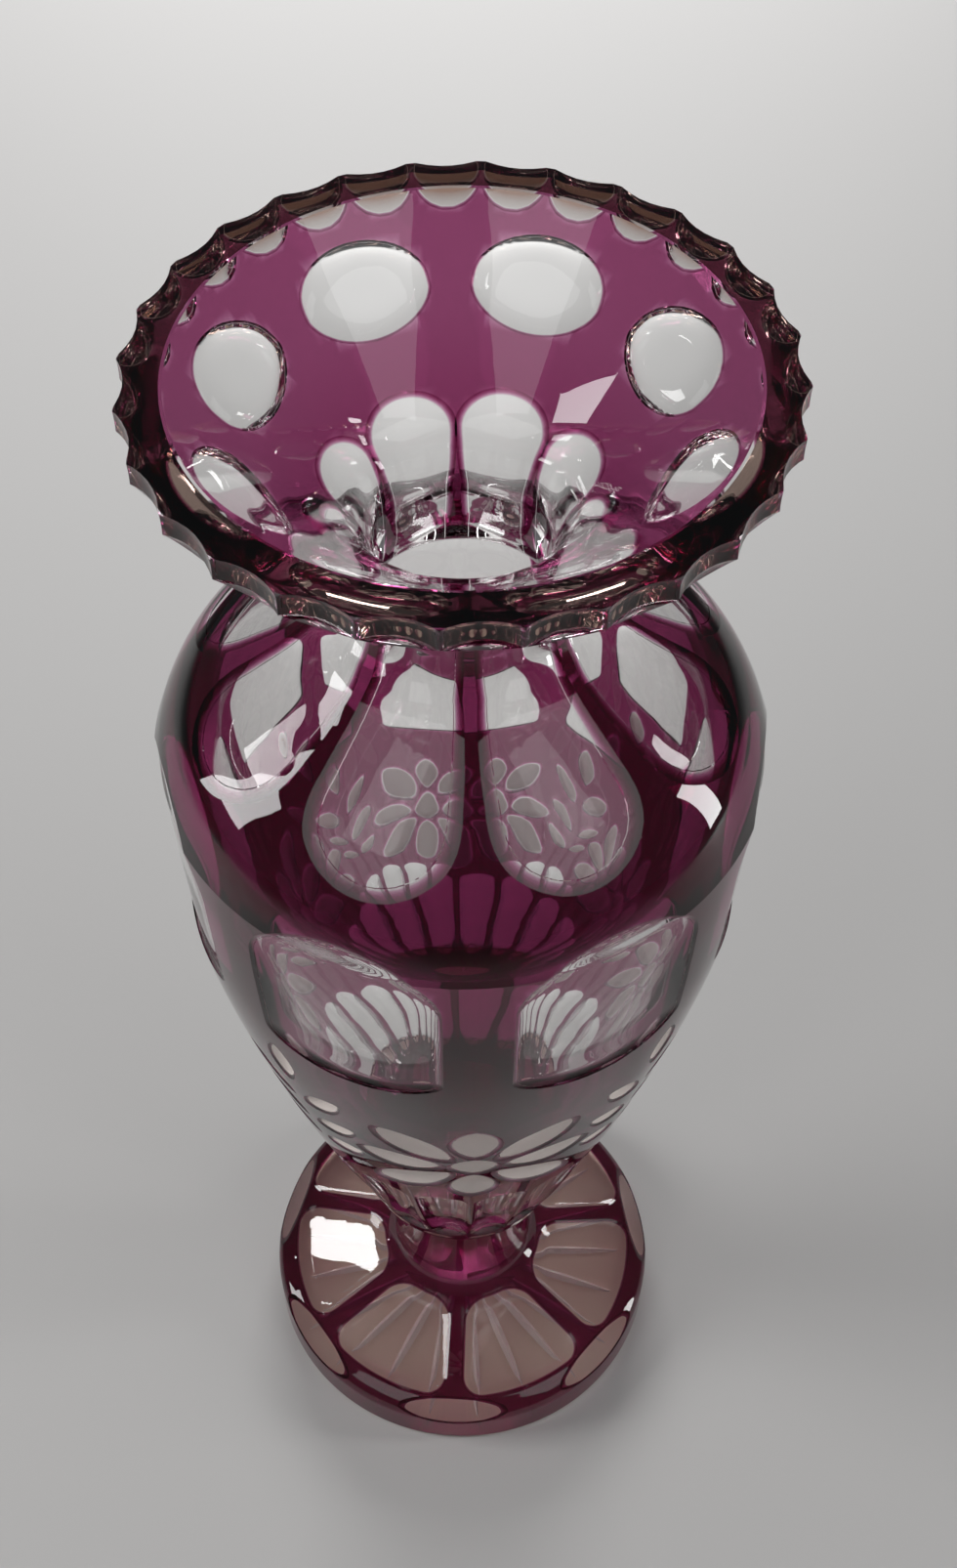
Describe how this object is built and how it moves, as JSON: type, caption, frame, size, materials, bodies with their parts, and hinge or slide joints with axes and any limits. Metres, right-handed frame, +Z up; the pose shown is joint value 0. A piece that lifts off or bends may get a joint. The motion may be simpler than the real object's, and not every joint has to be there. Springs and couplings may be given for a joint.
{
  "type": "vase",
  "caption": "Tall footed cut-to-clear glass vase, amethyst over clear, scalloped flared bowl, narrow fluted neck, tapering body with cut windows, panelled foot",
  "frame": {"origin": "centre of the foot's resting face, on the axis of the vase", "axes": "+Z up along the axis of the vase, -Y the side with the front rib, +X to the right seen from the front"},
  "size_m": [0.1096, 0.1086, 0.3],
  "materials": {
    "crystal": "polished clear lead crystal",
    "amethyst": "polished transparent amethyst casing, ground through in the cuts"
  },
  "bodies": {
    "root": {"vessel_crystal": "crystal", "vessel_casing": "amethyst", "foot_crystal": "crystal", "foot_casing": "amethyst"}
  },
  "joints": []
}
